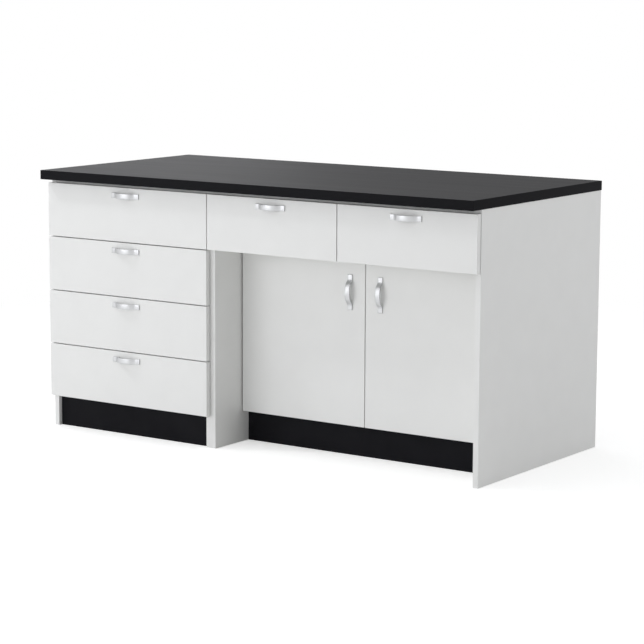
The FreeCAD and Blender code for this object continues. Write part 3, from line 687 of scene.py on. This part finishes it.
def hinge_cover_pattern():
    """The channel over a hinge's arm: rounded, a little narrower at the door's end, and hollowed
    along its top for the two adjusting screws. It lies from x = 0 back, on the plate at y = 0."""
    length, depth, width, rim, hollow, edge_radius = (
        44 * MM, 8 * MM, 13 * MM, 1.8 * MM, 1.6 * MM, 1.1 * MM)
    narrowing = 0.8
    bpy.ops.mesh.primitive_cube_add(size=1, location=(length / 2, -depth / 2, 0))
    cover = bpy.context.object
    cover.scale = (length, depth, width)
    set_place(cover)
    bpy.ops.object.mode_set(mode="EDIT")
    select_faces(cover, lambda middle, normal: normal.x < -0.9)
    bpy.ops.transform.resize(value=(1, 1, narrowing))
    select_faces(cover, lambda middle, normal: normal.y < -0.9)
    bpy.ops.mesh.inset(thickness=rim)
    bpy.ops.mesh.extrude_region_move(TRANSFORM_OT_translate={"value": (0, hollow, 0)})
    bpy.ops.object.mode_set(mode="OBJECT")
    apply_modifier(cover, "BEVEL", width=edge_radius, segments=3, limit_method="ANGLE",
                   angle_limit=SHARP_ABOVE)
    return cover


def door_fittings(materials):
    """The covers and screws of the hinges, and the screws of the door handles."""
    cover = hinge_cover_pattern()
    screw = screw_head_pattern(radius=3.5 * MM, height=1.4 * MM)
    large_screw = screw_head_pattern(radius=3.9 * MM, height=1.3 * MM)
    covers, panel_screws = [], []
    for door, inward, facing, roll in (("left_door", 1, RIGHT, 0),
                                       ("right_door", -1, LEFT, math.pi)):
        door_low, door_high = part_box(f"{door}_panel")
        face = door_low.x - DOOR_GAP if inward > 0 else door_high.x + DOOR_GAP
        plate = face + inward * HINGE_PLATE
        cup_x = face + inward * (PIN_FROM_PANEL + CUP_FROM_PIN)
        screws = []
        for height in HINGE_HEIGHTS:
            cover_start = HINGE_PIN_Y + COVER_BACK
            covers.append(((plate, cover_start, height), facing, roll))
            for distance in COVER_SCREWS:
                panel_screws.append(((plate + inward * COVER_FLOOR, cover_start + distance,
                                      height), facing))
            for side in (-1, 1):
                panel_screws.append(((plate, HINGE_PIN_Y + PLATE_SCREWS_BACK,
                                      height + side * PLATE_SCREW_RISE), facing))
                screws.append(((cup_x, door_high.y + CUP_EAR, height + side * CUP_SCREW_RISE),
                               BEHIND))
        handle_low, handle_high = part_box(f"{door}_handle")
        handle = (handle_low + handle_high) / 2
        for side in (-1, 1):
            screws.append(((handle.x, door_high.y,
                            handle.z + side * HANDLE_SCREW_SPACING / 2), BEHIND))
        join_copies(large_screw, screws, f"{door}_screws", door, materials["nickel"])
    join_copies(cover, covers, "hinge_covers", "carcass", materials["nickel"])
    join_copies(screw, panel_screws, "hinge_screws", "carcass", materials["zinc"])
    for pattern in (cover, screw, large_screw):
        bpy.data.objects.remove(pattern)


# ---- screws of the back ----

BACK_SCREW_INSET = 45 * MM       # back panel's side to its outermost screws
BACK_SCREW_COLUMNS = {"left_unit": 4, "right_unit": 5}


def back_panel_screws(materials):
    """Nearly flush screws through the back panels into the rails, bottoms and divider."""
    screw = screw_head_pattern(radius=3.6 * MM, height=0.4 * MM)
    places = []
    for unit, columns in BACK_SCREW_COLUMNS.items():
        low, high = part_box(f"{unit}_back")
        pitch = (high.x - low.x - 2 * BACK_SCREW_INSET) / (columns - 1)
        for board in ("bottom", "rear_rail", "divider"):
            node = f"{unit}_{board}"
            if node in frame["nodes"]:
                board_low, board_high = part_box(node)
                height = (board_low.z + board_high.z) / 2
                for column in range(columns):
                    x = low.x + BACK_SCREW_INSET + column * pitch
                    places.append(((x, high.y, height), BEHIND))
    join_copies(screw, places, "back_panel_screws", "carcass", materials["zinc"])
    bpy.data.objects.remove(screw)


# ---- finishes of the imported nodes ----

def all_materials():
    return {
        "white_melamine": melamine("white_melamine_board", "#E7E7E5", "#E9E9E7", 0.45),
        "black_laminate": laminate("black_laminate_worktop"),
        "black_edging": edging("black_edging"),
        "black_melamine": melamine("black_melamine_plinth", "#17171A", "#1B1B1E", 0.55,
                                   shine=0.04),
        "base_board": melamine("white_drawer_base_board", "#E0E0DE", "#E4E4E2", 0.5),
        "back_board": melamine("white_back_board", "#E2E2E0", "#E7E7E5", 0.5),
        "powder_coat": powder_coat("white_powder_coated_steel", "#E2E2E0", "#E7E7E5"),
        "level_aluminium": anodised_aluminium("satin_aluminium_level", "x"),
        "upright_aluminium": anodised_aluminium("satin_aluminium_upright", "z"),
        "nickel": plated_steel("nickel_plated_steel", "#BDBBB6", "#CBCAC6", 0.24),
        "zinc": plated_steel("zinc_plated_steel", "#AEB2B6", "#C2C6CA", 0.30),
        "white_nylon": moulded_plastic("white_nylon", "#DEDFDD", "#E6E7E5", 0.42),
        "clear_pad": moulded_plastic("clear_polyurethane", "#CFD2D0", "#DADDDB", 0.25),
    }


SLOT_FINISHES = {
    "white_melamine_board": "white_melamine",
    "black_laminate_worktop": "black_laminate",
    "black_plinth_board": "black_melamine",
    "white_coated_steel": "powder_coat",
    "satin_aluminium": "level_aluminium",
    "nickel_plated_steel": "nickel",
    "drawer_base_board": "base_board",
    "white_back_panel": "back_board",
}


def finish_nodes(materials):
    for subpart in frame["record"]["subparts"]:
        mesh = frame["nodes"][subpart["node"]].data
        mesh.materials.clear()
        mesh.materials.append(materials[SLOT_FINISHES[subpart["material_slot"]]])


studio()
materials = all_materials()
finish_nodes(materials)
worktop_edging(materials)
handles(materials)
drawer_fittings(materials)
door_fittings(materials)
back_panel_screws(materials)
